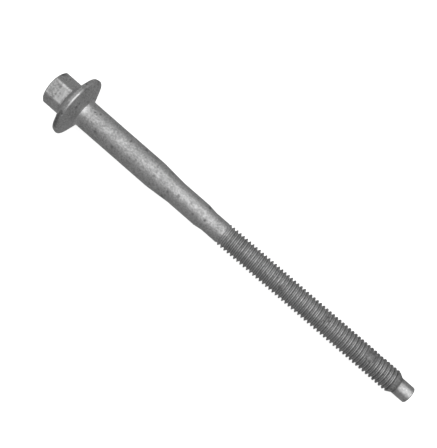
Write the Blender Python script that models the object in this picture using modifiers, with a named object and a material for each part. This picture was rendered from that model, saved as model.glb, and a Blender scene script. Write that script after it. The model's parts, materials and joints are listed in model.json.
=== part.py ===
"""Injector bolt: hexagon head with a cone-seat flange, stepped shank, M6 thread and dog point.

The bolt is turned about its local Z axis, head up, with zero where the seat cone meets the
shank. Its helical thread is a threaded rod, trimmed by a turned blank and joined on. The bolt is
then laid down as it comes to rest: on the flange rim and on the thread, with the head towards
-X. Metres, +Z up.
"""

import math

import bmesh
import bpy
from mathutils import Matrix, Vector

# Hexagon
HEX_ACROSS_FLATS = 0.0079
HEX_CORNER_ROUNDING = 0.0008
HEX_TOP = 0.0098
HEX_TOP_FACE_DIAMETER = 0.0072
HEX_CHAMFER_ANGLE = math.radians(28.0)
HEX_TURN = math.radians(-4.6)

# Flange
FLANGE_CORNER_DIAMETER = 0.0163
SEAT_CONE_ANGLE = math.radians(21.8)
SEAT_EDGE_ROUNDING = 0.0005
RIM_HEIGHT = 0.0012
RIM_DRAFT_ANGLE = math.radians(14.0)
RIM_TOP_ROUNDING = 0.0004
FLANGE_TOP_ANGLE = math.radians(22.5)
HEX_ROOT_FILLET = 0.0004
FILLET_INSET = 0.0001

# Shank, from the seat cone to the thread
GUIDE_DIAMETER = 0.0070
GUIDE_LENGTH = 0.0225
SEAT_ROOT_FILLET = 0.0003
TAPER_LENGTH = 0.0064
TAPER_BLEND = 0.0060
MIDDLE_DIAMETER = 0.0060
MIDDLE_LENGTH = 0.00805
STEP_LENGTH = 0.0022
NECK_DIAMETER = 0.0054
NECK_LENGTH = 0.0042

# Thread, right-handed, and dog point
THREAD_DIAMETER = 0.0059
THREAD_PITCH = 0.0010
THREAD_DEPTH = 0.00056
THREAD_CREST_WIDTH = 0.0002
THREAD_LENGTH = 0.05275
THREAD_RUN_IN_ANGLE = math.radians(22.0)
THREAD_RUN_OUT = 0.0014
THREAD_TURN = math.radians(-94.0)
THREAD_OVERLAP = 0.0002
DOG_DIAMETER = 0.0043
DOG_LENGTH = 0.0038
DOG_CHAMFER = 0.0002

# Faceting
FACETS = 48
THREAD_FACETS = 24
ARC_STEP = math.radians(18.0)
MERGE = 0.000001
WELD = 0.000002

STEEL_GREY = (0.46, 0.46, 0.46, 1.0)
STEEL_ROUGHNESS = 0.45


def clear_scene():
    """Take out whatever the file holds."""
    for obj in list(bpy.data.objects):
        bpy.data.objects.remove(obj, do_unlink=True)


def new_collection(name):
    """A collection linked to the scene."""
    collection = bpy.data.collections.new(name)
    bpy.context.scene.collection.children.link(collection)
    return collection


def steel():
    """Plain grey steel, as blasted and used."""
    material = bpy.data.materials.new("used_steel")
    material.use_nodes = True
    shader = material.node_tree.nodes["Principled BSDF"]
    shader.inputs["Base Color"].default_value = STEEL_GREY
    shader.inputs["Metallic"].default_value = 1.0
    shader.inputs["Roughness"].default_value = STEEL_ROUGHNESS
    return material


def rounded_outline(corners):
    """Points along an outline of (radius, height, rounding) corners, each rounded by an arc."""
    points = []
    last = len(corners) - 1
    for index, (radius, height, rounding) in enumerate(corners):
        corner = Vector((radius, height))
        if rounding == 0.0 or index in (0, last):
            points.append(corner)
            continue
        back = (Vector(corners[index - 1][:2]) - corner).normalized()
        ahead = (Vector(corners[index + 1][:2]) - corner).normalized()
        half_corner = back.angle(ahead) / 2.0
        centre = corner + (back + ahead).normalized() * rounding / math.sin(half_corner)
        start = corner + back * rounding / math.tan(half_corner) - centre
        sweep = start.angle_signed(corner + ahead * rounding / math.tan(half_corner) - centre)
        steps = max(1, round(abs(sweep) / ARC_STEP))
        for step in range(steps + 1):
            angle = -sweep * step / steps
            turned = Vector((
                start.x * math.cos(angle) - start.y * math.sin(angle),
                start.x * math.sin(angle) + start.y * math.cos(angle),
            ))
            points.append(centre + turned)
    return points


def turned_solid(name, points, collection):
    """A solid turned about Z from a profile that runs down its outer side."""
    mesh = bpy.data.meshes.new(name)
    bm = bmesh.new()
    verts = [bm.verts.new((point.x, 0.0, point.y)) for point in points]
    for upper, lower in zip(verts, verts[1:]):
        bm.edges.new((upper, lower))
    half_facet = Matrix.Rotation(math.pi / FACETS, 4, "Z")
    bmesh.ops.transform(bm, matrix=half_facet, verts=bm.verts)
    bm.to_mesh(mesh)
    bm.free()
    obj = bpy.data.objects.new(name, mesh)
    collection.objects.link(obj)
    screw = obj.modifiers.new("turn", "SCREW")
    screw.axis = "Z"
    screw.angle = math.tau
    screw.steps = FACETS
    screw.render_steps = FACETS
    screw.use_merge_vertices = True
    screw.merge_threshold = MERGE
    screw.use_smooth_shade = False
    return obj


def seat_cone_height():
    """Height of the seat cone, from the guide shank out to the rim's lower corner."""
    return (FLANGE_CORNER_DIAMETER - GUIDE_DIAMETER) / 2.0 * math.tan(SEAT_CONE_ANGLE)


def flange_corners():
    """The flange from the root of the hexagon down to the guide shank.

    The root fillet ends just inside the hexagon's flats, so each flat meets it in a line.
    """
    guide_radius = GUIDE_DIAMETER / 2.0
    rim_radius = FLANGE_CORNER_DIAMETER / 2.0
    hub_radius = HEX_ACROSS_FLATS / 2.0 - FILLET_INSET
    rim_top_radius = rim_radius - RIM_HEIGHT * math.tan(RIM_DRAFT_ANGLE)
    rim_top = seat_cone_height() + RIM_HEIGHT
    hex_root = rim_top + (rim_top_radius - hub_radius) * math.tan(FLANGE_TOP_ANGLE)
    fillet_top = hex_root + HEX_ROOT_FILLET
    return [
        (0.0, fillet_top, 0.0),
        (hub_radius, fillet_top, 0.0),
        (hub_radius, hex_root, HEX_ROOT_FILLET),
        (rim_top_radius, rim_top, RIM_TOP_ROUNDING),
        (rim_radius, seat_cone_height(), SEAT_EDGE_ROUNDING),
        (guide_radius, 0.0, SEAT_ROOT_FILLET),
    ]


def thread_start():
    """Height where the neck ends and the thread starts."""
    return -(GUIDE_LENGTH + TAPER_LENGTH + MIDDLE_LENGTH + STEP_LENGTH + NECK_LENGTH)


def run_in_height(radius):
    """Height of the cone on which the thread's crests rise out of the end of the neck."""
    rise = (radius - NECK_DIAMETER / 2.0) / math.tan(THREAD_RUN_IN_ANGLE)
    return thread_start() + THREAD_OVERLAP - rise


def run_out_height(radius):
    """Height of the cone on which the thread ends, from its crests down to the dog point."""
    crest = THREAD_DIAMETER / 2.0
    dog = DOG_DIAMETER / 2.0
    return thread_start() - THREAD_LENGTH - THREAD_RUN_OUT * (crest - radius) / (crest - dog)


def shank_corners():
    """The shank, the thread's core and the dog point, from the guide's lower end to the tip."""
    neck = NECK_DIAMETER / 2.0
    dog = DOG_DIAMETER / 2.0
    taper_end = -GUIDE_LENGTH - TAPER_LENGTH
    step_start = taper_end - MIDDLE_LENGTH
    groove_end = thread_start() - (neck - dog) / math.tan(THREAD_RUN_IN_ANGLE)
    tip = run_out_height(dog) - DOG_LENGTH
    return [
        (GUIDE_DIAMETER / 2.0, -GUIDE_LENGTH, TAPER_BLEND),
        (MIDDLE_DIAMETER / 2.0, taper_end, TAPER_BLEND),
        (MIDDLE_DIAMETER / 2.0, step_start, 0.0),
        (neck, step_start - STEP_LENGTH, 0.0),
        (neck, thread_start(), 0.0),
        (dog, groove_end, 0.0),
        (dog, tip + DOG_CHAMFER, 0.0),
        (dog - DOG_CHAMFER, tip, 0.0),
        (0.0, tip, 0.0),
    ]


def thread_blank(name, collection):
    """Turned solid that trims the threaded rod: it leaves the run-in and run-out cones."""
    outer = THREAD_DIAMETER / 2.0 + THREAD_OVERLAP
    inner = DOG_DIAMETER / 2.0 - THREAD_OVERLAP
    points = [
        Vector((0.0, run_in_height(inner))),
        Vector((inner, run_in_height(inner))),
        Vector((outer, run_in_height(outer))),
        Vector((outer, run_out_height(outer))),
        Vector((inner, run_out_height(inner))),
        Vector((0.0, run_out_height(inner))),
    ]
    return turned_solid(name, points, collection)


def threaded_rod(name, collection):
    """Rod with a helical groove all along it, cut square and closed beyond the thread's ends."""
    crest = THREAD_DIAMETER / 2.0
    inner = DOG_DIAMETER / 2.0 - THREAD_OVERLAP
    top = run_in_height(inner) + THREAD_PITCH
    bottom = run_out_height(inner) - THREAD_PITCH
    groove = (THREAD_PITCH + THREAD_CREST_WIDTH) / 2.0
    turns = math.ceil((top - bottom) / THREAD_PITCH) + 2
    first_turn = math.ceil((thread_start() - bottom) / THREAD_PITCH) + 1
    mesh = bpy.data.meshes.new(name)
    bm = bmesh.new()
    verts = [
        bm.verts.new((radius, 0.0, height)) for radius, height in (
            (crest, THREAD_CREST_WIDTH / 2.0),
            (crest, -THREAD_CREST_WIDTH / 2.0),
            (crest - THREAD_DEPTH, THREAD_CREST_WIDTH / 2.0 - groove),
            (crest, THREAD_CREST_WIDTH / 2.0 - THREAD_PITCH),
        )
    ]
    edges = [bm.edges.new(pair) for pair in zip(verts, verts[1:])]
    half_facet = math.pi / THREAD_FACETS
    start = Matrix.Translation((
        0.0, 0.0,
        thread_start() - first_turn * THREAD_PITCH
        + THREAD_PITCH * (half_facet - THREAD_TURN) / math.tau,
    ))
    bmesh.ops.transform(bm, matrix=start @ Matrix.Rotation(half_facet, 4, "Z"), verts=verts)
    bmesh.ops.spin(
        bm,
        geom=verts + edges,
        cent=(0.0, 0.0, 0.0),
        axis=(0.0, 0.0, 1.0),
        dvec=(0.0, 0.0, THREAD_PITCH / THREAD_FACETS),
        angle=math.tau * turns,
        steps=THREAD_FACETS * turns,
        use_merge=False,
        use_normal_flip=False,
        use_duplicate=False,
    )
    bmesh.ops.remove_doubles(bm, verts=bm.verts, dist=MERGE)
    for height, above in ((top, True), (bottom, False)):
        bmesh.ops.bisect_plane(
            bm,
            geom=bm.verts[:] + bm.edges[:] + bm.faces[:],
            dist=MERGE * 0.01,
            plane_co=(0.0, 0.0, height),
            plane_no=(0.0, 0.0, 1.0),
            clear_outer=above,
            clear_inner=not above,
        )
    bmesh.ops.holes_fill(bm, edges=[edge for edge in bm.edges if edge.is_boundary], sides=0)
    bmesh.ops.recalc_face_normals(bm, faces=bm.faces)
    bm.to_mesh(mesh)
    bm.free()
    obj = bpy.data.objects.new(name, mesh)
    collection.objects.link(obj)
    return obj


def resting_tilt(places):
    """Slope of the axis when the bolt lies on its rim and on what it meets next."""
    rim = min(places, key=lambda place: place.x)
    below = [place for place in places if place.z < rim.z - RIM_HEIGHT]
    return min(math.atan2(place.x - rim.x, rim.z - place.z) for place in below)


def hexagon(name, collection):
    """Hexagon prism with rounded corners; its foot is inside the flange."""
    foot = seat_cone_height()
    mesh = bpy.data.meshes.new(name)
    bm = bmesh.new()
    corner_radius = HEX_ACROSS_FLATS / math.sqrt(3.0)
    bmesh.ops.create_cone(
        bm,
        cap_ends=True,
        cap_tris=False,
        segments=6,
        radius1=corner_radius,
        radius2=corner_radius,
        depth=HEX_TOP - foot,
    )
    middle = (HEX_TOP + foot) / 2.0
    lift = Matrix.Translation((0.0, 0.0, middle))
    turn = Matrix.Rotation(HEX_TURN, 4, "Z")
    bmesh.ops.transform(bm, matrix=lift @ turn, verts=bm.verts)
    uprights = [
        edge for edge in bm.edges
        if (edge.verts[0].co.z - middle) * (edge.verts[1].co.z - middle) < 0.0
    ]
    bmesh.ops.bevel(
        bm,
        geom=uprights,
        affect="EDGES",
        offset_type="OFFSET",
        offset=HEX_CORNER_ROUNDING * math.tan(math.radians(30.0)),
        segments=4,
        profile=0.5,
        material=-1,
    )
    bmesh.ops.recalc_face_normals(bm, faces=bm.faces)
    bm.to_mesh(mesh)
    bm.free()
    obj = bpy.data.objects.new(name, mesh)
    collection.objects.link(obj)
    return obj


def chamfer_cone(name, collection):
    """Turned solid that leaves the hexagon's chamfered top."""
    face_radius = HEX_TOP_FACE_DIAMETER / 2.0
    reach = HEX_ACROSS_FLATS
    foot = HEX_TOP - (reach - face_radius) * math.tan(HEX_CHAMFER_ANGLE)
    points = [
        Vector((0.0, HEX_TOP)),
        Vector((face_radius, HEX_TOP)),
        Vector((reach, foot)),
        Vector((reach, 0.0)),
        Vector((0.0, 0.0)),
    ]
    return turned_solid(name, points, collection)


def hide_cutter(obj):
    """Keep a cutter out of the model and out of renders."""
    obj.hide_render = True
    obj.display_type = "WIRE"


def combine(obj, cutter, operation, name):
    """Boolean with the exact solver."""
    boolean = obj.modifiers.new(name, "BOOLEAN")
    boolean.operation = operation
    boolean.solver = "EXACT"
    boolean.object = cutter


def weld(obj):
    """Merge the doubled points that the Booleans leave where edges cross."""
    merged = obj.modifiers.new("weld", "WELD")
    merged.merge_threshold = WELD


def lay_down(obj):
    """Turn the bolt onto its rim and thread, with the middle of its box over the origin."""
    bpy.context.view_layer.update()
    evaluated = obj.evaluated_get(bpy.context.evaluated_depsgraph_get())
    places = [vertex.co.copy() for vertex in evaluated.data.vertices]
    obj.rotation_euler = (0.0, resting_tilt(places) - math.pi / 2.0, 0.0)
    turned = obj.rotation_euler.to_matrix()
    laid = [turned @ place for place in places]
    middle = (min(place.x for place in laid) + max(place.x for place in laid)) / 2.0
    obj.location = (-middle, 0.0, -min(place.z for place in laid))


def build():
    """The whole bolt as one solid."""
    clear_scene()
    model = new_collection("injector_bolt")
    cutters = new_collection("cutters")
    outline = rounded_outline(flange_corners() + shank_corners())
    bolt = turned_solid("injector_bolt", outline, model)
    hex_prism = hexagon("hex_prism", cutters)
    chamfer = chamfer_cone("hex_chamfer", cutters)
    thread = threaded_rod("threaded_rod", cutters)
    blank = thread_blank("thread_blank", cutters)
    combine(hex_prism, chamfer, "INTERSECT", "chamfer")
    combine(thread, blank, "INTERSECT", "trim")
    combine(bolt, hex_prism, "UNION", "hexagon")
    combine(bolt, thread, "UNION", "thread")
    weld(bolt)
    for cutter in (hex_prism, chamfer, thread, blank):
        hide_cutter(cutter)
        cutter.parent = bolt
    bolt.data.materials.append(steel())
    lay_down(bolt)


build()
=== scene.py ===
"""Injector bolt: its finished surfaces, on a pale floor in soft studio light.

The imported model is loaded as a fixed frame. One finely modelled bolt stands for its solid: the
pressed hexagon and flange, the stepped shank, the rolled thread and the dog point. It is shaped
in the bolt's own frame, with the head towards +Z and zero where the seat cone meets the shank,
and is then laid down as the solid lies. Metres, +Z up.
"""

import json
import math

import bmesh
import bpy
from bpy.props import FloatProperty, FloatVectorProperty, IntProperty, PointerProperty
from bpy.types import Operator, Panel, PropertyGroup
from mathutils import Matrix, Vector, noise


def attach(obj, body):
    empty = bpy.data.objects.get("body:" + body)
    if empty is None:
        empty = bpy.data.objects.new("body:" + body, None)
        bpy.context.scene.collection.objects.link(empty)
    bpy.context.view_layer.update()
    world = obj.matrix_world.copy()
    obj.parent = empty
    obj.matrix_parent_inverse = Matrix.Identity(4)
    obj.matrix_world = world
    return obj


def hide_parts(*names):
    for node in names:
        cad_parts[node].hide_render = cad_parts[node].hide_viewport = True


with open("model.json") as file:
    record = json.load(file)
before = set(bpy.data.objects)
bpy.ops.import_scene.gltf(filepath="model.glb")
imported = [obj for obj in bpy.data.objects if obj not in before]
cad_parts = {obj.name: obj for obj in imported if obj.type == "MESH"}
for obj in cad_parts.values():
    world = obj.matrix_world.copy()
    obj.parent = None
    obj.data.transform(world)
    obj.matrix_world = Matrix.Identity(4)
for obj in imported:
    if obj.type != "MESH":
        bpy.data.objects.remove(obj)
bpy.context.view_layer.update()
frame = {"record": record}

bl_info = {
    "name": "Injector bolt",
    "version": (1, 0, 0),
    "blender": (4, 5, 0),
    "location": "3D View > Sidebar > Bolt",
    "description": "Makes the finished bolt and the studio it is seen in",
    "category": "Object",
}

SOLID = "injector_bolt"

# Height of the wrench flats' stated middles above the seat cone's foot
MOUNT_HEIGHT = 0.0074

# Distances within which vertices count as one, on the whole skin, between turns and on a cut,
# and within which an open edge counts as lying at a height
MERGE = 1e-7
TURN_MERGE = 1e-6
CUT_MERGE = 1e-8
LOOP_REACH = 1e-6

# Roundings and blends that are not among the sizes below
ARC_STEP = math.radians(7.5)
SEAT_FOOT_ROUNDING = 0.0003
STEP_ROUNDING = 0.0012
FACE_ROUNDING = 0.00018
POINT_ROUNDING = 0.0002
POINT_END_ROUNDING = 0.0001
PRESS_BLEND = 0.00012
SHARP_EDGE = math.radians(50.0)

# Share of the root fillet that leaves room for its upper end
FILLET_FIT = 0.98

# Longest stretches between the rings of vertices
FACE_SPACING = 0.0005
CHAMFER_SPACING = 0.00003
SIDE_SPACING = 0.0003
FLANGE_SPACING = 0.00025
SHANK_SPACING = 0.0006
POINT_SPACING = 0.0003

# The hexagon's sides and the angle of one. Its blank is pressed outside a share of the end
# face's radius, inside a share of the flange's diameter, and gathers towards the corners
SIDES = 6.0
SIXTH = math.pi / 3.0
PRESSED_FROM = 0.9
PRESSED_TO = 0.42
GATHER = 0.5

# Height above which the flange's outline can lie inside the hexagon's blank
HUB_FOOT = 0.002

# The forged skin's gentle unevenness, with a finer ripple, and the length over which it fades
WAVE_SIZE = 0.0021
WAVE_HEIGHT = 0.000012
RIPPLE_COUNT = 2.3
RIPPLE_SHARE = 0.5
WAVE_FADE = 0.002

# Half a tooth: drop below the crest and share of the pitch, then rise above the root and share
CREST_HALF = ((0.0, 0.0), (0.0, 0.055), (0.00002, 0.095))
ROOT_HALF = ((0.00005, 0.370), (0.000008, 0.42), (0.0, 0.5))

# Turns made beyond the threaded length, to be cut off
SPARE_TURNS = 4

# The thread rises out of the neck over some turns, and its last turn fades on the run-out
# cone; both start a little early
LEAD = 0.0004
RISE_TURNS = 1.7
FADE_LENGTH = 0.0009
FADE_SHARE = 0.8

# Patches where the thread is flattened: height, side in degrees, half sizes, amount
WORN_THREAD = (
    (-0.0882, 26.0, 0.0015, 30.0, 0.75),
    (-0.0906, 82.0, 0.0012, 24.0, 0.45),
    (-0.0622, -12.0, 0.0007, 20.0, 0.4),
    (-0.0748, 18.0, 0.0008, 18.0, 0.4),
)
WORN_DEPTH = 0.0002

# How fast wear fades across a flattened patch and along a rubbed edge
PATCH_FALL = 1.6
EDGE_FALL = 1.5

# Stretches of the flange's two edges rubbed bright: middle and half width in degrees, amount.
# The first of each lies where the light's highlight falls, and there the rub is also a painted
# highlight
SEAT_RUB_AND_SHEEN = ((5.0, 14.0, 1.0), (96.0, 18.0, 0.8), (171.0, 30.0, 0.7), (254.0, 22.0, 0.9))
RIM_RUB_AND_SHEEN = ((-20.0, 15.0, 1.0), (58.0, 12.0, 0.7), (128.0, 16.0, 0.9), (225.0, 18.0, 0.8))

# How rubbed the two edges are elsewhere
SEAT_LEAST = 0.2
RIM_LEAST = 0.3

# How far inside the outline's sharp corners the two edges lie
SEAT_INSET = 0.00015
RIM_INSET = (0.0003, 0.0002)

# Rubbed edges: how full the rub is and its reach. Then the drop of the rub at the seat cone's
# foot, the shares of the corners and the end face, and how far outside it the face's rub goes
SEAT_RUB = (1.4, 0.0004)
RIM_RUB = (1.2, 0.0005)
FOOT_RUB = (1.2, 0.0010)
CORNER_RUB = (1.0, 0.0005)
FACE_RUB = (1.0, 0.0004)
FOOT_DROP = 0.0004
CORNER_SHARE = 0.6
FACE_SHARE = 0.5
FACE_LIMIT = 0.0003

# The hexagon's flats are polished near the flange, and duller above the wrench's reach
FLAT_RUB = 0.62
FLAT_LOSS = 0.36
WRENCH_REACH = 0.0069
WRENCH_FADE = 0.0005

# The middle shank is a little rubbed, fading up into the taper and down into the neck
MIDDLE_RUB = 0.40
MIDDLE_FADE = 0.003
NECK_FADE = 0.0075

# The thread: the share of its height that is crest, the length over which the blank's skin
# ends, grime from some way down, and painted shade near the run-out cone and at the cone's foot
CREST_FROM = 0.8
BLANK_FADE = 0.0024
LOWER_GRIME = 0.25
LOWER_GRIME_START = 0.033
LOWER_GRIME_FADE = 0.012
CONE_PAINTED_SHADE = 0.6
CONE_PAINTED_SHADE_FADE = 0.0030
CONE_FOOT_FADE = 0.0008

# Dark spots on the forged skin: x, y and height in the bolt's frame, radius, strength. Most are
# stains; the spot at height 0.0019 is painted shade over the seat edge's highlight
STAINS_AND_SHADE = (
    (0.00306, -0.00170, -0.00540, 0.00055, 0.6),
    (0.00300, -0.00185, -0.00600, 0.00045, 0.4),
    (0.00316, 0.00150, -0.00320, 0.00030, 0.5),
    (0.00395, -0.00028, 0.00645, 0.00032, 0.7),
    (0.00395, -0.00190, 0.00710, 0.00050, 0.75),
    (0.00395, -0.00110, 0.00715, 0.00045, 0.75),
    (0.00395, -0.00010, 0.00720, 0.00040, 0.5),
    (0.00395, 0.00090, 0.00730, 0.00055, 0.6),
    (0.00395, 0.00100, 0.00800, 0.00045, 0.6),
    (0.00395, -0.00040, 0.00830, 0.00050, 0.4),
    (0.00395, -0.00130, 0.00870, 0.00060, 0.4),
    (0.00180, 0.00400, 0.00940, 0.00120, 0.7),
    (0.00220, 0.00310, 0.00970, 0.00100, 0.6),
    (0.00302, -0.00175, -0.01080, 0.00055, 0.65),
    (0.00347, -0.00045, -0.01710, 0.00050, 0.55),
    (0.00346, -0.00045, -0.02270, 0.00050, 0.65),
    (0.00309, -0.00125, -0.02760, 0.00065, 0.6),
    (0.00274, -0.00121, -0.03530, 0.00050, 0.6),
    # A row of spots that darkens a crescent of the rim at y below zero
    (0.00730, -0.00330, 0.00265, 0.00075, 0.5),
    (0.00690, -0.00410, 0.00265, 0.00085, 0.6),
    (0.00635, -0.00485, 0.00260, 0.00090, 0.65),
    (0.00570, -0.00560, 0.00255, 0.00095, 0.65),
    (0.00500, -0.00625, 0.00245, 0.00095, 0.65),
    (0.00420, -0.00685, 0.00240, 0.00090, 0.6),
    # Painted shade over the seat edge's highlight, towards its end
    (0.00680, 0.00430, 0.00190, 0.00110, 0.5),
    (0.00200, 0.00770, 0.00240, 0.00120, 0.75),
)

# Where the thread is joined to the neck and to the dog point
NECK_SEAM = 0.0008
TIP_SEAM = 0.0003
SEAM_GAP = 0.0001

# The materials' numbers, and how far above its seam the dog point's steel starts
FORGED, ROLLED, TURNED = range(3)
POINT_REACH = 0.0002


def length(name, text, default):
    """A length in metres that a user may change."""
    return FloatProperty(
        name=name, description=text, default=default, min=0.0, precision=5,
        subtype="DISTANCE", unit="LENGTH",
    )


def angle(name, text, degrees):
    """An angle that a user may change."""
    return FloatProperty(
        name=name, description=text, default=math.radians(degrees), subtype="ANGLE",
        unit="ROTATION",
    )


class HeadSizes(PropertyGroup):
    """Sizes of the hexagon and the flange."""

    across_flats: length("Across flats", "Hexagon from flat to flat", 0.0079)
    corner_rounding: length("Corner rounding", "Radius of the hexagon's upright edges", 0.0008)
    hex_top: length("Hexagon top", "Height of the end face above the seat cone's foot", 0.0098)
    top_face: length("End face", "Diameter of the flat end face", 0.0072)
    chamfer: angle("Chamfer", "Slope of the end chamfer from the end face", 28.0)
    turn: angle("Turn", "How far the hexagon is turned about the bolt", -4.6)
    flange: length("Flange", "Diameter at the seat cone's outer corner", 0.0163)
    seat_angle: angle("Seat angle", "Slope of the seat cone from the bolt's cross plane", 21.8)
    seat_edge: length("Seat edge", "Rounding of the seat cone's outer corner", 0.0005)
    rim_height: length("Rim height", "Height of the flange rim", 0.0012)
    rim_draft: angle("Rim draft", "Lean of the flange rim", 14.0)
    rim_rounding: length("Rim rounding", "Rounding of the rim's upper corner", 0.0004)
    flange_slope: angle("Flange slope", "Slope of the flange's top up to the hexagon", 22.5)
    root_fillet: length("Root fillet", "Fillet from the flange up to the hexagon", 0.0004)
    fillet_inset: length("Fillet inset", "How far the fillet ends inside the flats", 0.0001)


class ShankSizes(PropertyGroup):
    """Sizes of the shank, the thread and the dog point."""

    guide: length("Guide", "Diameter under the head", 0.0070)
    guide_length: length("Guide length", "Length under the head", 0.0225)
    taper_length: length("Taper", "Length of the taper to the middle shank", 0.0064)
    taper_blend: length("Taper blend", "Rounding at both ends of the taper", 0.0060)
    middle: length("Middle", "Diameter of the middle shank", 0.0060)
    middle_length: length("Middle length", "Length of the middle shank", 0.00805)
    step_length: length("Step", "Length of the step down to the neck", 0.0022)
    neck: length("Neck", "Diameter of the neck, which is the blank of the thread", 0.0054)
    neck_length: length("Neck length", "Length of the neck", 0.0042)
    crest: length("Crest", "Diameter over the thread's crests", 0.0059)
    root: length("Root", "Diameter at the thread's roots", 0.00478)
    pitch: length("Pitch", "Pitch of the right-hand thread", 0.0010)
    thread_turn: angle("Thread turn", "Where the thread starts round the bolt", -94.0)
    thread_length: length("Thread length", "From the neck to the run-out cone", 0.05275)
    run_out: length("Run-out", "Length of the cone at the thread's end", 0.0014)
    dog: length("Dog point", "Diameter of the dog point", 0.0043)
    dog_length: length("Dog length", "Length of the dog point", 0.0038)
    dog_chamfer: length("Dog chamfer", "Chamfer of the dog point's end", 0.0002)
    steps: IntProperty(name="Steps", description="Steps round the head and shank", default=160)
    thread_steps: IntProperty(name="Thread steps", description="Steps in one turn", default=96)


class Finish(PropertyGroup):
    """Colours of the steel."""

    skin: FloatVectorProperty(
        name="Forged skin", description="Colour of the head and shank", subtype="COLOR",
        size=3, min=0.0, max=1.0, default=(0.485, 0.485, 0.485),
    )
    thread: FloatVectorProperty(
        name="Thread", description="Colour of the rolled thread", subtype="COLOR",
        size=3, min=0.0, max=1.0, default=(0.36, 0.36, 0.36),
    )
    point: FloatVectorProperty(
        name="Dog point", description="Colour of the turned dog point", subtype="COLOR",
        size=3, min=0.0, max=1.0, default=(0.50, 0.50, 0.50),
    )


class Studio(PropertyGroup):
    """Light, floor and camera."""

    tent_power: FloatProperty(
        name="Tent", description="Power of the wide soft light", default=9.4, unit="POWER",
    )
    key_power: FloatProperty(
        name="Key", description="Power of the soft light's bright middle", default=1.75,
        unit="POWER",
    )
    surround: FloatProperty(name="Surround", description="Light from all round", default=0.31)
    lens: FloatProperty(name="Lens", description="Focal length", default=67.5, unit="CAMERA")
    distance: length("Distance", "Camera's distance from the bolt", 0.19953)


# The bolt's own frame


def bolt_frame():
    """The bolt's frame in the model: +Z to the head, +X up, zero at the seat cone's foot."""
    flats = {mount["name"]: mount for mount in frame["record"]["mounts"]}
    upper = flats["wrench_flat_upper"]
    lower = flats["wrench_flat_lower"]
    normal = Vector(upper["axis"])
    head = Vector((-normal.z, 0.0, normal.x)).normalized()
    middle = (Vector(upper["pos_m"]) + Vector(lower["pos_m"])) / 2.0
    seat_foot = middle - head * MOUNT_HEIGHT
    up = Vector((head.z, 0.0, -head.x))
    side = head.cross(up)
    turn = Matrix((up, side, head)).transposed().to_4x4()
    return Matrix.Translation(seat_foot) @ turn


# Outlines


def rounded_outline(corners):
    """Points along an outline of (radius, height, rounding) corners, each rounded by an arc."""
    points = []
    last = len(corners) - 1
    for index, (radius, height, rounding) in enumerate(corners):
        corner = Vector((radius, height))
        if rounding == 0.0 or index in (0, last):
            points.append(corner)
            continue
        back = (Vector(corners[index - 1][:2]) - corner).normalized()
        ahead = (Vector(corners[index + 1][:2]) - corner).normalized()
        half_corner = back.angle(ahead) / 2.0
        centre = corner + (back + ahead).normalized() * rounding / math.sin(half_corner)
        start = corner + back * rounding / math.tan(half_corner) - centre
        sweep = start.angle_signed(corner + ahead * rounding / math.tan(half_corner) - centre)
        steps = max(2, round(abs(sweep) / ARC_STEP))
        for step in range(steps + 1):
            turn = -sweep * step / steps
            points.append(centre + Vector((
                start.x * math.cos(turn) - start.y * math.sin(turn),
                start.x * math.sin(turn) + start.y * math.cos(turn),
            )))
    return points


def filled(points, limit):
    """The same outline with points added so that no stretch is longer than the limit."""
    result = [points[0]]
    for start, end in zip(points, points[1:]):
        count = max(1, math.ceil((end - start).length / limit))
        result += [start.lerp(end, (step + 1) / count) for step in range(count)]
    return result


def smoothstep(value):
    """0 below 0, 1 above 1, and an easy curve between."""
    value = min(max(value, 0.0), 1.0)
    return value * value * (3.0 - 2.0 * value)


def soft_min(first, second, rounding):
    """The smaller of two, rounded where they meet."""
    overlap = max(rounding - abs(first - second), 0.0) / rounding
    return min(first, second) - overlap * overlap * rounding / 4.0


def soft_max(first, second, rounding):
    """The larger of two, rounded where they meet."""
    return -soft_min(-first, -second, rounding)


def seat_height(head, shank):
    """Height of the seat cone, from the guide out to the rim's lower corner."""
    return (head.flange - shank.guide) / 2.0 * math.tan(head.seat_angle)


def rim_top_radius(head):
    """Radius of the rim's upper corner."""
    return head.flange / 2.0 - head.rim_height * math.tan(head.rim_draft)


def hexagon_root(head, shank):
    """Height where the flange's sloped top would meet the hexagon's flats."""
    hub = head.across_flats / 2.0 - head.fillet_inset
    rise = (rim_top_radius(head) - hub) * math.tan(head.flange_slope)
    return seat_height(head, shank) + head.rim_height + rise


def flange_outline(head, shank):
    """The flange and the shank, from the root of the hexagon down to the neck's seam."""
    guide = shank.guide / 2.0
    hub = head.across_flats / 2.0 - head.fillet_inset
    seat = seat_height(head, shank)
    hex_root = hexagon_root(head, shank)
    corners = [
        (hub, hex_root + head.root_fillet, 0.0),
        (hub, hex_root, head.root_fillet * FILLET_FIT),
        (rim_top_radius(head), seat + head.rim_height, head.rim_rounding),
        (head.flange / 2.0, seat, head.seat_edge),
        (guide, 0.0, SEAT_FOOT_ROUNDING),
    ]
    height = -shank.guide_length
    corners.append((guide, height, shank.taper_blend))
    height -= shank.taper_length
    corners.append((shank.middle / 2.0, height, shank.taper_blend))
    height -= shank.middle_length
    corners.append((shank.middle / 2.0, height, STEP_ROUNDING))
    height -= shank.step_length
    corners.append((shank.neck / 2.0, height, STEP_ROUNDING))
    height -= shank.neck_length - NECK_SEAM
    corners.append((shank.neck / 2.0, height, 0.0))
    return rounded_outline(corners)


def hexagon_outline(head, corner_radius):
    """The blank of the hexagon, from the middle of its end face down its chamfer and side."""
    face = head.top_face / 2.0
    foot = head.hex_top - (corner_radius - face) * math.tan(head.chamfer)
    edge = rounded_outline([
        (0.0, head.hex_top, 0.0), (face, head.hex_top, FACE_ROUNDING), (corner_radius, foot, 0.0),
    ])
    chamfer_start = next(i for i, point in enumerate(edge) if point.x > face * PRESSED_FROM)
    return (
        filled(edge[:chamfer_start + 1], FACE_SPACING)
        + filled(edge[chamfer_start:], CHAMFER_SPACING)[1:]
    )


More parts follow.
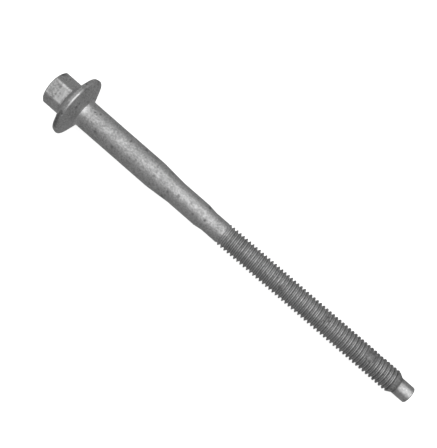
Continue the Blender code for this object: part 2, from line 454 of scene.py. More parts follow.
def off_flat(head, turned):
    """Angle between a direction and the middle of the hexagon's nearest flat."""
    return abs((turned - head.turn + SIXTH / 2.0) % SIXTH - SIXTH / 2.0)


def chamfer_radius(head, height):
    """Radius of the end chamfer at a height."""
    return head.top_face / 2.0 + (head.hex_top - height) / math.tan(head.chamfer)


def pressed_radius(head, flange_at, turned, height):
    """Radius of the head's surface at an angle round it and a height."""
    apothem = head.across_flats / 2.0
    inner = apothem - head.corner_rounding
    off = off_flat(head, turned)
    # Straight flat near the middle, an arc about the rounding's centre near the corner
    centre = inner / math.cos(SIXTH / 2.0)
    along = centre * math.cos(SIXTH / 2.0 - off)
    across = centre * math.sin(SIXTH / 2.0 - off)
    arc = along + math.sqrt(max(head.corner_rounding ** 2 - across ** 2, 0.0))
    flat = apothem / math.cos(off)
    on_flat = apothem * math.tan(off) <= inner * math.tan(SIXTH / 2.0)
    upper = soft_min(flat if on_flat else arc, chamfer_radius(head, height), PRESS_BLEND)
    return soft_max(upper, flange_at(height), PRESS_BLEND)


def radius_at(outline):
    """A function that gives the outline's radius at a height; above its top it runs inwards."""
    def find(height):
        if height >= outline[0].y:
            return outline[0].x - (height - outline[0].y)
        for above, below in zip(outline, outline[1:]):
            if below.y <= height <= above.y and above.y > below.y:
                return above.x + (below.x - above.x) * (above.y - height) / (above.y - below.y)
        return outline[-1].x
    return find


# Meshes


def chain(bm, points):
    """A row of vertices and edges along an outline in the XZ plane."""
    verts = [bm.verts.new((point.x, 0.0, point.y)) for point in points]
    return verts + [bm.edges.new(pair) for pair in zip(verts, verts[1:])]


def spin_outline(bm, points, steps):
    """Turn an outline about Z into a closed skin."""
    geometry = chain(bm, points)
    bmesh.ops.spin(
        bm, geom=geometry, cent=(0.0, 0.0, 0.0), axis=(0.0, 0.0, 1.0), dvec=(0.0, 0.0, 0.0),
        angle=math.tau, steps=steps, use_merge=True, use_normal_flip=False, use_duplicate=False,
    )


def press_hexagon(bm, head, outline, shank):
    """Move the blank's vertices above the flange onto the hexagon."""
    flange_at = radius_at(outline)
    innermost = head.top_face / 2.0 * PRESSED_FROM
    limit = seat_height(head, shank) + head.rim_height
    for vert in bm.verts:
        radius = vert.co.xy.length
        height = vert.co.z
        if height < limit or radius < innermost or radius > head.flange * PRESSED_TO:
            continue
        turned = math.atan2(vert.co.y, vert.co.x)
        turned += math.sin(SIDES * (turned - head.turn)) * GATHER / SIDES
        pressed = pressed_radius(head, flange_at, turned, height)
        in_flange = radius <= flange_at(height)
        wanted = max(radius, pressed) if in_flange else min(radius, pressed)
        vert.co.x = wanted * math.cos(turned)
        vert.co.y = wanted * math.sin(turned)


def tooth(shank):
    """(radius, height) along one pitch of the thread, from the middle of one crest to the next."""
    down = [(shank.crest / 2.0 - drop, share) for drop, share in CREST_HALF]
    down += [(shank.root / 2.0 + rise, share) for rise, share in ROOT_HALF]
    up = [(radius, 1.0 - share) for radius, share in reversed(down[:-1])]
    return [Vector((radius, -share * shank.pitch)) for radius, share in down + up]


def roll_thread(shank, top, bottom):
    """The threaded rod between two heights, open at both ends."""
    bm = bmesh.new()
    pitch = shank.pitch
    turns = math.ceil((top - bottom) / pitch) + SPARE_TURNS
    geometry = chain(bm, tooth(shank))
    bmesh.ops.spin(
        bm, geom=geometry, cent=(0.0, 0.0, 0.0), axis=(0.0, 0.0, 1.0),
        dvec=(0.0, 0.0, pitch / shank.thread_steps), angle=math.tau, steps=shank.thread_steps,
        use_merge=False, use_normal_flip=False, use_duplicate=False,
    )
    one_turn = bm.verts[:] + bm.edges[:] + bm.faces[:]
    for turn in range(1, turns):
        copy = bmesh.ops.duplicate(bm, geom=one_turn)
        verts = [item for item in copy["geom"] if isinstance(item, bmesh.types.BMVert)]
        bmesh.ops.translate(bm, vec=(0.0, 0.0, pitch * turn), verts=verts)
    bmesh.ops.remove_doubles(bm, verts=bm.verts, dist=TURN_MERGE)
    start = neck_end(shank)
    below = math.ceil((start - bottom) / pitch) + 1
    first_crest = start - pitch * (below + shank.thread_turn / math.tau)
    bmesh.ops.translate(bm, vec=(0.0, 0.0, first_crest), verts=bm.verts)
    shape_thread_ends(bm, shank)
    for height, above in ((top, True), (bottom, False)):
        bmesh.ops.bisect_plane(
            bm, geom=bm.verts[:] + bm.edges[:] + bm.faces[:], dist=CUT_MERGE,
            plane_co=(0.0, 0.0, height), plane_no=(0.0, 0.0, 1.0),
            clear_outer=above, clear_inner=not above,
        )
    return bm


def neck_end(shank):
    """Height where the neck ends and the thread starts."""
    return -(
        shank.guide_length + shank.taper_length + shank.middle_length + shank.step_length
        + shank.neck_length
    )


def cone_end(shank):
    """Height of the foot of the run-out cone."""
    return neck_end(shank) - shank.thread_length - shank.run_out


def angle_off(turned, degrees):
    """Angle between a direction and one that is given in degrees."""
    return abs((turned - math.radians(degrees) + math.pi) % math.tau - math.pi)


def worn_share(height, turned):
    """How far the thread is flattened at a height and an angle round it, from 0 to 1."""
    share = 0.0
    for middle, side, half_length, half_angle, amount in WORN_THREAD:
        along = abs(height - middle) / half_length
        across = angle_off(turned, side) / math.radians(half_angle)
        share = max(share, amount * smoothstep(2.0 - PATCH_FALL * math.hypot(along, across)))
    return share


def shape_thread_ends(bm, shank):
    """Let the thread rise out of its blank, wear a little, and end on the run-out cone."""
    blank = shank.neck / 2.0
    dog = shank.dog / 2.0
    start = neck_end(shank)
    cone_foot = cone_end(shank)
    slope = (shank.crest / 2.0 - dog) / shank.run_out
    fade_start = cone_foot + shank.run_out + LEAD
    for vert in bm.verts:
        radius = vert.co.xy.length
        height = vert.co.z
        rise = smoothstep((start + LEAD - height) / (shank.pitch * RISE_TURNS))
        wanted = blank + (radius - blank) * rise
        share = worn_share(height, math.atan2(vert.co.y, vert.co.x))
        wanted += (shank.crest / 2.0 - WORN_DEPTH - wanted) * share
        fade = FADE_SHARE * smoothstep((fade_start - height) / FADE_LENGTH)
        wanted += (shank.crest / 2.0 - wanted) * fade
        wanted = min(wanted, max(dog, dog + (height - cone_foot) * slope))
        factor = wanted / radius
        vert.co.x *= factor
        vert.co.y *= factor


def open_loop(bm, height):
    """The open edges at a height."""
    return [
        edge for edge in bm.edges
        if edge.is_boundary
        and all(abs(vert.co.z - height) < LOOP_REACH for vert in edge.verts)
    ]


def roughen(bm, limit):
    """A gentle unevenness of the forged skin, above a height."""
    bm.normal_update()
    moves = []
    for vert in bm.verts:
        fade = smoothstep((vert.co.z - limit) / WAVE_FADE)
        ripple = RIPPLE_SHARE * noise.noise(vert.co * RIPPLE_COUNT / WAVE_SIZE)
        wave = noise.noise(vert.co / WAVE_SIZE) + ripple
        moves.append(vert.normal * wave * WAVE_HEIGHT * fade)
    for vert, move in zip(bm.verts, moves):
        vert.co += move


def wear_and_sheen_round(turned, stretches, least):
    """How worn an edge is at an angle round the bolt, from its list of worn stretches, some of
    them painted highlight.
    """
    wear = least
    for middle, half_width, amount in stretches:
        off = angle_off(turned, middle)
        wear = max(wear, amount * smoothstep(2.0 - EDGE_FALL * off / math.radians(half_width)))
    return wear


def rub(distance, fullness, reach):
    """How rubbed the skin is at a distance from an edge; may be below 0 or above 1."""
    return fullness - distance / reach


def rub_and_sheen_at(head, shank):
    """A function that gives how rubbed the head and shank are at a place, painted highlight
    included, from 0 to 1.
    """
    start = neck_end(shank)
    middle_start = -shank.guide_length - shank.taper_length / 2.0
    hexagon_foot = hexagon_root(head, shank) + head.root_fillet
    seat = Vector((head.flange / 2.0 - SEAT_INSET, seat_height(head, shank) + SEAT_INSET))
    rim_top = Vector((
        rim_top_radius(head) - RIM_INSET[0], seat.y + head.rim_height - RIM_INSET[1],
    ))

    def find(radius, height, turned):
        place = Vector((radius, height))
        # Wear, and a painted highlight where the light falls on the seat edge and the rim's top
        # corner
        seat_wear_and_sheen = wear_and_sheen_round(turned, SEAT_RUB_AND_SHEEN, SEAT_LEAST)
        rim_wear_and_sheen = wear_and_sheen_round(turned, RIM_RUB_AND_SHEEN, RIM_LEAST)
        middle = MIDDLE_RUB * smoothstep((middle_start - height) / MIDDLE_FADE)
        shares = [
            0.0,
            rub((place - seat).length, *SEAT_RUB) * seat_wear_and_sheen,
            rub((place - rim_top).length, *RIM_RUB) * rim_wear_and_sheen,
            middle * smoothstep((height - start) / NECK_FADE),
        ]
        if radius < head.across_flats / 2.0:
            shares.append(rub(abs(height + FOOT_DROP), *FOOT_RUB))
        if height > hexagon_foot:
            from_corner = (SIXTH / 2.0 - off_flat(head, turned)) * radius
            shares.append(rub(from_corner, *CORNER_RUB) * CORNER_SHARE)
            crease = chamfer_radius(head, height)
            if radius < crease + FACE_LIMIT:
                shares.append(rub(abs(radius - crease), *FACE_RUB) * FACE_SHARE)
            above_wrench = smoothstep((height - WRENCH_REACH) / WRENCH_FADE)
            shares.append(FLAT_RUB - FLAT_LOSS * above_wrench)
        return min(1.0, max(shares))
    return find


def mark_surface(bm, head, shank):
    """Point attributes that the finish reads: rubbed places with some painted highlight, thread
    roots, grime with painted shade, and blank.
    """
    rub_and_sheen = bm.verts.layers.float.new("rub_and_sheen")
    depth = bm.verts.layers.float.new("thread_depth")
    grime_and_shade = bm.verts.layers.float.new("grime_and_shade")
    blank = bm.verts.layers.float.new("blank_skin")
    crest = shank.crest / 2.0
    root = shank.root / 2.0
    start = neck_end(shank)
    cone_start = start - shank.thread_length
    cone_foot = cone_end(shank)
    skin_rub_and_sheen = rub_and_sheen_at(head, shank)
    for vert in bm.verts:
        radius = vert.co.xy.length
        height = vert.co.z
        turned = math.atan2(vert.co.y, vert.co.x)
        if height < cone_start:
            # Painted shade: a dark ring in the crease at the run-out cone's foot
            vert[grime_and_shade] = max(0.0, 1.0 - abs(height - cone_foot) / CONE_FOOT_FADE)
        elif height < start:
            share = (radius - root) / (crest - root)
            below = start - LOWER_GRIME_START - height
            vert[depth] = 1.0 - min(max(share, 0.0), 1.0)
            vert[rub_and_sheen] = smoothstep((share - CREST_FROM) / (1.0 - CREST_FROM))
            vert[blank] = 1.0 - smoothstep((start - height) / BLANK_FADE)
            # Grime from some way down; painted shade over the flattened patches, damping their
            # highlight, and near the run-out cone
            vert[grime_and_shade] = max(
                worn_share(height, turned),
                LOWER_GRIME * smoothstep(below / LOWER_GRIME_FADE),
                CONE_PAINTED_SHADE - (height - cone_start) / CONE_PAINTED_SHADE_FADE,
            )
        else:
            vert[rub_and_sheen] = skin_rub_and_sheen(radius, height, turned)


def bolt_mesh(head, shank):
    """The whole bolt as one closed skin, in its own frame."""
    corner_radius = head.across_flats / math.sqrt(3.0)
    flange = flange_outline(head, shank)
    hexagon = hexagon_outline(head, corner_radius)
    hidden = [point for point in flange if point.x < corner_radius and point.y > HUB_FOOT]
    side = filled(
        [hexagon[-1]] + [Vector((corner_radius, point.y)) for point in hidden], SIDE_SPACING
    )
    rest = flange[len(hidden):]
    seat_foot = next(i for i, point in enumerate(rest) if point.y < 0.0)
    lower = filled(rest[:seat_foot], FLANGE_SPACING) + filled(rest[seat_foot:], SHANK_SPACING)
    points = hexagon + side[1:] + lower

    neck_seam = neck_end(shank) + NECK_SEAM
    tip_seam = cone_end(shank) - TIP_SEAM
    bm = bmesh.new()
    spin_outline(bm, points, shank.steps)
    press_hexagon(bm, head, flange, shank)
    roughen(bm, neck_seam)

    thread = roll_thread(shank, neck_seam - SEAM_GAP, tip_seam + SEAM_GAP)
    thread_data = bpy.data.meshes.new("thread")
    thread.to_mesh(thread_data)
    thread.free()
    bm.from_mesh(thread_data)
    bpy.data.meshes.remove(thread_data)

    dog = shank.dog / 2.0
    tip = cone_end(shank) - shank.dog_length
    point_outline = rounded_outline([
        (dog, tip_seam, 0.0), (dog, tip + shank.dog_chamfer, POINT_ROUNDING),
        (dog - shank.dog_chamfer, tip, POINT_END_ROUNDING), (0.0, tip, 0.0),
    ])
    spin_outline(bm, filled(point_outline, POINT_SPACING), shank.thread_steps)
    bmesh.ops.remove_doubles(bm, verts=bm.verts, dist=MERGE)
    for upper, below in (
        (neck_seam, neck_seam - SEAM_GAP), (tip_seam + SEAM_GAP, tip_seam),
    ):
        bmesh.ops.bridge_loops(bm, edges=open_loop(bm, upper) + open_loop(bm, below))
    bmesh.ops.recalc_face_normals(bm, faces=bm.faces)
    mark_surface(bm, head, shank)
    for face in bm.faces:
        face.smooth = True
        height = face.calc_center_median().z
        if height > neck_end(shank):
            face.material_index = FORGED
        else:
            face.material_index = ROLLED if height > tip_seam + POINT_REACH else TURNED
    for edge in bm.edges:
        if len(edge.link_faces) == 2 and edge.calc_face_angle() > SHARP_EDGE:
            edge.smooth = False
    return bm


# Node helpers

FLOAT = "NodeSocketFloat"
VECTOR = "NodeSocketVector"


def plug(tree, socket, value):
    """Link an output into an input socket, or set the socket to a plain value."""
    if isinstance(value, bpy.types.NodeSocket):
        tree.links.new(value, socket)
    else:
        socket.default_value = value


def set_inputs(tree, node, values):
    """Plug values into a node's inputs by name, with a low line for a space; gives the node."""
    for name, value in values.items():
        plug(tree, node.inputs[name.replace("_", " ")], value)
    return node


def add(tree, kind, **values):
    """A node with its inputs set or linked by name."""
    return set_inputs(tree, tree.nodes.new(kind), values)


def maths(tree, operation, first, second, clamp=False):
    """A Math node on two values or sockets; gives its output."""
    node = tree.nodes.new("ShaderNodeMath")
    node.operation = operation
    node.use_clamp = clamp
    plug(tree, node.inputs[0], first)
    plug(tree, node.inputs[1], second)
    return node.outputs[0]


def ramp(tree, value, low, high, to_low=0.0, to_high=1.0):
    """A smooth step from one range to another; gives its output."""
    node = tree.nodes.new("ShaderNodeMapRange")
    node.interpolation_type = "SMOOTHSTEP"
    for socket, number in zip(node.inputs[1:5], (low, high, to_low, to_high)):
        socket.default_value = number
    tree.links.new(value, node.inputs[0])
    return node.outputs[0]


def blend(tree, share, first, second):
    """A colour between two, which may be sockets or colours; gives its output."""
    node = tree.nodes.new("ShaderNodeMix")
    node.data_type = "RGBA"
    for number, value in ((0, share), (6, first), (7, second)):
        plug(tree, node.inputs[number], value)
    return node.outputs[2]


def new_group(name, inputs, outputs):
    """A group, its input and its output node; an input is (name, kind, forged skin's value)."""
    tree = bpy.data.node_groups.new(name, "ShaderNodeTree")
    for socket, kind, value in inputs:
        made = tree.interface.new_socket(socket, in_out="INPUT", socket_type=kind)
        if value is not None:
            made.default_value = value
    for socket in outputs:
        tree.interface.new_socket(socket, in_out="OUTPUT", socket_type=FLOAT)
    return tree, tree.nodes.new("NodeGroupInput"), tree.nodes.new("NodeGroupOutput")


# Noise levels between which a smudge sets in, and shades between which the roughness falls
SMUDGE_RANGE = (0.54, 0.72)
SHADE_RANGE = (0.7, 1.3)

# Size of the smallest pits as a share, and how steep a pit's and a rubbed patch's edge is
SMALLEST_PIT = 0.4
PIT_EDGE = 1.8
RUB_EDGE = 2.0

# Share of a dark spot's radius that is fully dark
SPOT_CORE = 0.2


def mottle_group():
    """A blasted skin's cloudy, speckled shade about 1, its height about 0, and its smudges."""
    tree, given, out = new_group(
        "mottled_skin",
        [
            ("Position", VECTOR, None), ("Cloud Scale", FLOAT, 500.0),
            ("Speckle Scale", FLOAT, 2200.0), ("Smudge Scale", FLOAT, 800.0),
            ("Cloud", FLOAT, 0.17), ("Speckle", FLOAT, 0.64),
        ],
        ["Shade", "Height", "Smudge"],
    )
    place = given.outputs["Position"]
    clouds, speckle, smudges = (
        add(tree, "ShaderNodeTexNoise", Vector=place, Scale=given.outputs[scale], Detail=detail,
            Roughness=rough).outputs[0]
        for scale, detail, rough in (
            ("Cloud Scale", 3.0, 0.6), ("Speckle Scale", 2.0, 0.7), ("Smudge Scale", 4.0, 0.7),
        )
    )
    cloud, speck = (
        maths(tree, "MULTIPLY", maths(tree, "SUBTRACT", level, 0.5), given.outputs[name])
        for level, name in ((clouds, "Cloud"), (speckle, "Speckle"))
    )
    both = maths(tree, "ADD", cloud, speck)
    shade = maths(tree, "ADD", maths(tree, "MULTIPLY", both, 2.0), 1.0)
    smudge = ramp(tree, smudges, *SMUDGE_RANGE)
    set_inputs(tree, out, {"Shade": shade, "Height": both, "Smudge": smudge})
    return tree


def pit_group():
    """Scattered small round pits: 1 in a pit, 0 between."""
    tree, given, out = new_group(
        "scattered_pits",
        [("Position", VECTOR, None), ("Scale", FLOAT, 700.0), ("Radius", FLOAT, 0.36),
         ("Share", FLOAT, 0.17)],
        ["Mask"],
    )
    cells = add(tree, "ShaderNodeTexVoronoi", Vector=given.outputs["Position"],
                Scale=given.outputs["Scale"])
    chosen = add(tree, "ShaderNodeSeparateColor", Color=cells.outputs["Color"])
    picked = maths(tree, "LESS_THAN", chosen.outputs[0], given.outputs["Share"])
    size = maths(tree, "MULTIPLY", given.outputs["Radius"],
                 maths(tree, "ADD", chosen.outputs[1], SMALLEST_PIT))
    near = maths(tree, "SUBTRACT", 1.0, maths(tree, "DIVIDE", cells.outputs["Distance"], size))
    core = maths(tree, "MULTIPLY", near, PIT_EDGE, True)
    plug(tree, out.inputs["Mask"], maths(tree, "MULTIPLY", core, picked))
    return tree


def rub_group():
    """Edges rubbed bare in broken patches, with the painted highlight on the flange's edges."""
    tree, given, out = new_group(
        "rub_and_sheen_edges",
        [("Edge", FLOAT, 0.0), ("Position", VECTOR, None), ("Scale", FLOAT, 1400.0),
         ("Break Up", FLOAT, 0.6)],
        ["Mask"],
    )
    patches = add(tree, "ShaderNodeTexNoise", Vector=given.outputs["Position"],
                  Scale=given.outputs["Scale"], Detail=3.0, Roughness=0.6)
    lost = maths(tree, "MULTIPLY", patches.outputs[0], given.outputs["Break Up"])
    left = maths(tree, "SUBTRACT", given.outputs["Edge"], lost)
    plug(tree, out.inputs["Mask"], maths(tree, "MULTIPLY", left, RUB_EDGE, True))
    return tree


def stains_and_shade(tree, place):
    """Dark round spots at their places on the skin, stains and one painted shade: their strength,
    0 between; an output.
    """
    total = 0.0
    for x, y, height, radius, strength in STAINS_AND_SHADE:
        node = tree.nodes.new("ShaderNodeVectorMath")
        node.operation = "DISTANCE"
        plug(tree, node.inputs[0], place)
        plug(tree, node.inputs[1], (x, y, height))
        spot = ramp(tree, node.outputs["Value"], radius * SPOT_CORE, radius, strength, 0.0)
        total = maths(tree, "ADD", spot, total)
    return total


def place_group(tree, group, **values):
    """A group node with its inputs set or linked by name."""
    node = tree.nodes.new("ShaderNodeGroup")
    node.node_tree = group
    return set_inputs(tree, node, values)


def position(tree):
    """Object coordinates turned into the bolt's own frame; gives the vector."""
    coordinates = tree.nodes.new("ShaderNodeTexCoord")
    back = bolt_frame().inverted()
    mapping = add(
        tree, "ShaderNodeMapping", Vector=coordinates.outputs["Object"],
        Location=back.to_translation(), Rotation=back.to_euler(),
    )
    return mapping.outputs["Vector"]


def attribute(tree, name):
    """A point attribute's value."""
    node = tree.nodes.new("ShaderNodeAttribute")
    node.attribute_name = name
    return node.outputs["Fac"]


def new_metal(name):
    """A metal; gives the material, its tree and its shader."""
    material = bpy.data.materials.new(name)
    material.use_nodes = True
    tree = material.node_tree
    shader = tree.nodes["Principled BSDF"]
    shader.inputs["Metallic"].default_value = 1.0
    return material, tree, shader


def grey(level):
    """A grey with its alpha."""
    return level, level, level, 1.0


def stronger(tree, first, first_share, second, second_share):
    """The larger of two sockets, each times its share; gives its output."""
    return maths(
        tree, "MAXIMUM", maths(tree, "MULTIPLY", first, first_share),
        maths(tree, "MULTIPLY", second, second_share),
    )


def scaled_colour(tree, colour, shade):
    """A colour, or a colour's socket, times a shade; gives its output."""
    node = tree.nodes.new("ShaderNodeVectorMath")
    node.operation = "SCALE"
    plug(tree, node.inputs[0], colour)
    plug(tree, node.inputs["Scale"], shade)
    return node.outputs[0]


def finish_metal(tree, shader, colour, rough, height, relief):
    """Link colour and roughness into the shader, and the height as bump of this relief."""
    bump = add(tree, "ShaderNodeBump", Strength=1.0, Distance=relief, Height=height)
    set_inputs(tree, shader, {
        "Base Color": colour, "Roughness": rough, "Normal": bump.outputs["Normal"],
    })


# Greys of what darkens or brightens the steels
DARK_SPOT_GREY = 0.14
GRIME_AND_SHADE_GREY = 0.12
RUB_AND_SHEEN_GREY = 0.75
CREST_GREY = 0.8
ROOT_PAINTED_LIGHT_GREY = 0.85

# Forged skin: shares of smudges, pits and rub with its painted highlight, roughness from dark to
# pale, and the relief
FORGED_SMUDGE = 0.28
FORGED_PIT = 0.7
FORGED_RUB = 0.4
FORGED_ROUGH = (0.62, 0.44)
FORGED_POLISH = 0.2
FORGED_PIT_DEPTH = 0.5
FORGED_RELIEF = 0.00008

# Rolled thread: the same, then the depth from which its roots are painted brighter, as painted
# light in the grooves, and how much
ROLLED_SMUDGE = 0.4
ROLLED_GRIME_AND_SHADE = 0.6
ROLLED_RUB = 0.12
ROLLED_ROUGH = (0.62, 0.46)
ROLLED_RELIEF = 0.00006
ROOT_LIGHT_FROM = 0.85
ROOT_LIGHT_SHARE = 0.55

# Turned dog point: the same
TURNED_SMUDGE = 0.2
TURNED_PAINTED_SHADE = 0.5
TURNED_ROUGH = (0.44, 0.28)
TURNED_RELIEF = 0.00004


def forged_steel(colour, groups):
    """Blasted grey steel of the head and shank, clouded and pitted, with rubbed edges, a painted
    highlight on the flange's edges and a spot of painted shade.
    """
    material, tree, shader = new_metal("forged_steel")
    place = position(tree)
    mottle = place_group(tree, groups["mottle"], Position=place)
    pits = place_group(tree, groups["pits"], Position=place)
    rub_and_sheen_marks = place_group(tree, groups["rub"], Position=place, Edge=attribute(tree, "rub_and_sheen"))
    shade, smudge, pit = mottle.outputs["Shade"], mottle.outputs["Smudge"], pits.outputs["Mask"]
    base = scaled_colour(tree, colour, shade)
    dark = stronger(tree, smudge, FORGED_SMUDGE, pit, FORGED_PIT)
    # Stains, and a spot of painted shade on the seat edge
    dark = maths(tree, "MAXIMUM", dark, stains_and_shade(tree, place))
    spotted = blend(tree, dark, base, grey(DARK_SPOT_GREY))
    # Rub brightens the colour; on the flange's edges it is partly a painted highlight
    rub_and_sheen = maths(tree, "MULTIPLY", rub_and_sheen_marks.outputs["Mask"], FORGED_RUB)
    bare = blend(tree, rub_and_sheen, spotted, grey(RUB_AND_SHEEN_GREY))
    dull = ramp(tree, shade, *SHADE_RANGE, *FORGED_ROUGH)
    polish = maths(tree, "MULTIPLY", rub_and_sheen_marks.outputs["Mask"], FORGED_POLISH)
    rough = maths(tree, "SUBTRACT", dull, polish)
    sunk = maths(tree, "MULTIPLY", pit, FORGED_PIT_DEPTH)
    height = maths(tree, "SUBTRACT", mottle.outputs["Height"], sunk)
    finish_metal(tree, shader, bare, rough, height, FORGED_RELIEF)
    return material


def rolled_steel(colour, skin, groups):
    """The rolled thread, which rises out of the shank's skin: painted light in the roots, dull
    flanks, grime and painted shade.
    """
    material, tree, shader = new_metal("rolled_thread_steel")
    place = position(tree)
    mottle = place_group(
        tree, groups["mottle"], Position=place, Cloud_Scale=350.0, Cloud=0.35, Speckle=1.05,
    )
    rub_and_sheen_marks = place_group(
        tree, groups["rub"], Position=place, Edge=attribute(tree, "rub_and_sheen"), Scale=900.0,
        Break_Up=0.8,
    )
    shade, smudge = mottle.outputs["Shade"], mottle.outputs["Smudge"]
    steel = blend(tree, attribute(tree, "blank_skin"), (*colour, 1.0), (*skin, 1.0))
    base = scaled_colour(tree, steel, shade)
    # Grime, and painted shade near the run-out cone and over the flattened patches
    dark = stronger(tree, smudge, ROLLED_SMUDGE, attribute(tree, "grime_and_shade"), ROLLED_GRIME_AND_SHADE)
    darkened = blend(tree, dark, base, grey(GRIME_AND_SHADE_GREY))
    # Painted light: the thread's roots are painted brighter, lifting the shade in the grooves
    root = ramp(tree, attribute(tree, "thread_depth"), ROOT_LIGHT_FROM, 1.0, 0.0, ROOT_LIGHT_SHARE)
    rolled = blend(tree, root, darkened, grey(ROOT_PAINTED_LIGHT_GREY))
    rub_and_sheen = maths(tree, "MULTIPLY", rub_and_sheen_marks.outputs["Mask"], ROLLED_RUB)
    bare = blend(tree, rub_and_sheen, rolled, grey(CREST_GREY))
    rough = ramp(tree, shade, *SHADE_RANGE, *ROLLED_ROUGH)
    finish_metal(tree, shader, bare, rough, mottle.outputs["Height"], ROLLED_RELIEF)
    return material


def turned_steel(colour, groups):
    """The dog point, turned clean and a little brighter, with painted shade at the run-out cone's
    foot.
    """
    material, tree, shader = new_metal("turned_point_steel")
    mottle = place_group(
        tree, groups["mottle"], Position=position(tree), Cloud_Scale=450.0, Cloud=0.12,
        Speckle=0.55,
    )
    shade, smudge = mottle.outputs["Shade"], mottle.outputs["Smudge"]
    base = scaled_colour(tree, colour, shade)
    # Painted shade at the run-out cone's foot
    dark = stronger(tree, smudge, TURNED_SMUDGE, attribute(tree, "grime_and_shade"), TURNED_PAINTED_SHADE)
    darkened = blend(tree, dark, base, grey(GRIME_AND_SHADE_GREY))
    rough = ramp(tree, shade, *SHADE_RANGE, *TURNED_ROUGH)
    finish_metal(tree, shader, darkened, rough, mottle.outputs["Height"], TURNED_RELIEF)
    return material


# Operators


class BOLT_OT_make_bolt(Operator):
    """Make the finished bolt in place of the plain solid"""

    bl_idname = "bolt.make_bolt"
    bl_label = "Make bolt"

    def execute(self, context):
        scene = context.scene
        head = scene.bolt_head
        shank = scene.bolt_shank
        finish = scene.bolt_finish
        bm = bolt_mesh(head, shank)
        if any(not edge.is_manifold for edge in bm.edges):
            raise RuntimeError("the bolt's skin is open")
        bmesh.ops.transform(bm, matrix=bolt_frame(), verts=bm.verts)
        data = bpy.data.meshes.new("finished_bolt")
        bm.to_mesh(data)
        bm.free()
        bolt = bpy.data.objects.new("finished_bolt", data)
        scene.collection.objects.link(bolt)
        groups = {"mottle": mottle_group(), "pits": pit_group(), "rub": rub_group()}
        data.materials.append(forged_steel(finish.skin, groups))
        data.materials.append(rolled_steel(finish.thread, finish.skin, groups))
        data.materials.append(turned_steel(finish.point, groups))
        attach(bolt, "root")
        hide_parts(SOLID)
        return {"FINISHED"}


# Stage: the paper's size, grey and glow, and the lights' directions, sizes and distances
FLOOR_SIZE = 3.0
PAPER_GREY = 0.9
PAPER_GLOW = 0.68
LIGHT_SIDE = math.radians(20.0)
LIGHT_BACK = math.radians(9.0)
TENT_SIZE, TENT_DISTANCE = 2.2, 1.0
KEY_SIZE, KEY_DISTANCE = 0.9, 0.99

# The camera: its roll and lean, its place along and beside the bolt, its sensor and near limit
VIEW_ROLL = math.radians(41.08)
VIEW_LEAN = math.radians(1.7)
VIEW_ALONG = 0.041307
VIEW_SIDE = 0.000998
SENSOR = 36.0
NEAR_LIMIT = 0.001


def show_either(tree, share, first, second, output):
    """Show the first shader, or the second where the share is 1."""
    mix = tree.nodes.new("ShaderNodeMixShader")
    for socket, value in zip(mix.inputs, (share, first.outputs[0], second.outputs[0])):
        tree.links.new(value, socket)
    tree.links.new(mix.outputs[0], tree.nodes[output].inputs["Surface"])


def floor_material():
    """Near-white matt paper, not seen from below."""
    material = bpy.data.materials.new("studio_paper")
    material.use_nodes = True
    tree = material.node_tree
    paper = set_inputs(tree, tree.nodes["Principled BSDF"], {
        "Base Color": grey(PAPER_GREY), "Roughness": 1.0, "Specular IOR Level": 0.0,
        "Emission Color": grey(1.0), "Emission Strength": PAPER_GLOW,
    })
    clear = tree.nodes.new("ShaderNodeBsdfTransparent")
    geometry = tree.nodes.new("ShaderNodeNewGeometry")
    show_either(tree, geometry.outputs["Backfacing"], paper, clear, "Material Output")
    return material


def make_floor(scene):
    """A wide sheet of paper under the bolt."""
    data = bpy.data.meshes.new("studio_floor")
    bm = bmesh.new()
    bmesh.ops.create_grid(bm, x_segments=1, y_segments=1, size=FLOOR_SIZE)
    bm.to_mesh(data)
    bm.free()
    floor = bpy.data.objects.new("studio_floor", data)
    scene.collection.objects.link(floor)
    data.materials.append(floor_material())
    floor.visible_glossy = False


def make_world(scene, surround):
    """Dim light from all round; the camera sees it as pale as the floor."""
    world = bpy.data.worlds.new("studio")
    scene.world = world
    world.use_nodes = True
    tree = world.node_tree
    dim = set_inputs(tree, tree.nodes["Background"], {"Color": grey(1.0), "Strength": surround})
    pale = add(tree, "ShaderNodeBackground", Color=grey(1.0), Strength=1.0)
    path = tree.nodes.new("ShaderNodeLightPath")
    show_either(tree, path.outputs["Is Camera Ray"], dim, pale, "World Output")


def soft_box(scene, name, towards, size, distance, power):
    """A square area light that looks at the bolt's middle from a direction."""
    light = bpy.data.lights.new(name, "AREA")
    light.shape = "SQUARE"
    light.size = size
    light.energy = power
    lamp = bpy.data.objects.new(name, light)
    scene.collection.objects.link(lamp)
    lamp.location = towards.normalized() * distance
    lamp.rotation_euler = towards.to_track_quat("Z", "Y").to_euler()


def bolt_axes():
    """The bolt's place in the model, and its directions: up, to the side and to the head."""
    place = bolt_frame()
    return (place, *(place.col[number].to_3d() for number in range(3)))


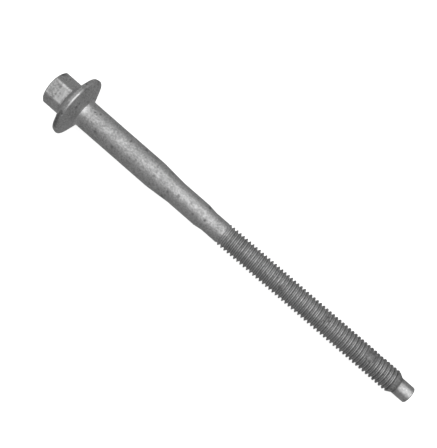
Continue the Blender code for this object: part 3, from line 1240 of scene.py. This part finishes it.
def make_camera(scene, studio):
    """The photo's camera: above the bolt, turned so that the head is at the upper left."""
    place, up, side, head = bolt_axes()
    to_tip = -head
    along = to_tip * math.cos(VIEW_LEAN) - up * math.sin(VIEW_LEAN)
    forward = -to_tip * math.sin(VIEW_LEAN) - up * math.cos(VIEW_LEAN)
    right = along * math.cos(VIEW_ROLL) + side * math.sin(VIEW_ROLL)
    upward = -along * math.sin(VIEW_ROLL) + side * math.cos(VIEW_ROLL)
    data = bpy.data.cameras.new("camera")
    data.lens = studio.lens
    data.sensor_width = SENSOR
    data.clip_start = NEAR_LIMIT
    camera = bpy.data.objects.new("camera", data)
    scene.collection.objects.link(camera)
    aim = place.to_translation() + along * VIEW_ALONG + side * VIEW_SIDE
    eye = aim - forward * studio.distance
    turn = Matrix((right, upward, -forward)).transposed().to_4x4()
    camera.matrix_world = Matrix.Translation(eye) @ turn
    scene.camera = camera


class BOLT_OT_make_studio(Operator):
    """Make the floor, the light and the camera"""

    bl_idname = "bolt.make_studio"
    bl_label = "Make studio"

    def execute(self, context):
        scene = context.scene
        studio = scene.bolt_studio
        make_floor(scene)
        make_world(scene, studio.surround)
        up, side, head = bolt_axes()[1:]
        towards = up + side * math.tan(LIGHT_SIDE) - head * math.tan(LIGHT_BACK)
        soft_box(scene, "light_tent", towards, TENT_SIZE, TENT_DISTANCE, studio.tent_power)
        soft_box(scene, "soft_box", towards, KEY_SIZE, KEY_DISTANCE, studio.key_power)
        make_camera(scene, studio)
        scene.view_settings.view_transform = "Standard"
        return {"FINISHED"}


class BOLT_PT_panel(Panel):
    """The bolt's operators and sizes"""

    bl_idname = "BOLT_PT_panel"
    bl_label = "Injector bolt"
    bl_space_type = "VIEW_3D"
    bl_region_type = "UI"
    bl_category = "Bolt"

    def draw(self, context):
        layout = self.layout
        scene = context.scene
        layout.operator("bolt.make_bolt")
        layout.operator("bolt.make_studio")
        for group in (scene.bolt_head, scene.bolt_shank, scene.bolt_finish, scene.bolt_studio):
            box = layout.box()
            for name in group.bl_rna.properties.keys():
                if name not in ("rna_type", "name"):
                    box.prop(group, name)


GROUPS = {
    "bolt_head": HeadSizes,
    "bolt_shank": ShankSizes,
    "bolt_finish": Finish,
    "bolt_studio": Studio,
}
OTHERS = (BOLT_OT_make_bolt, BOLT_OT_make_studio, BOLT_PT_panel)


def register():
    for name, group in GROUPS.items():
        bpy.utils.register_class(group)
        setattr(bpy.types.Scene, name, PointerProperty(type=group))
    for item in OTHERS:
        bpy.utils.register_class(item)


def unregister():
    for item in reversed(OTHERS):
        bpy.utils.unregister_class(item)
    for name, group in reversed(list(GROUPS.items())):
        delattr(bpy.types.Scene, name)
        bpy.utils.unregister_class(group)


def main():
    """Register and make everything."""
    register()
    bpy.ops.bolt.make_bolt()
    bpy.ops.bolt.make_studio()


if __name__ == "__main__":
    main()
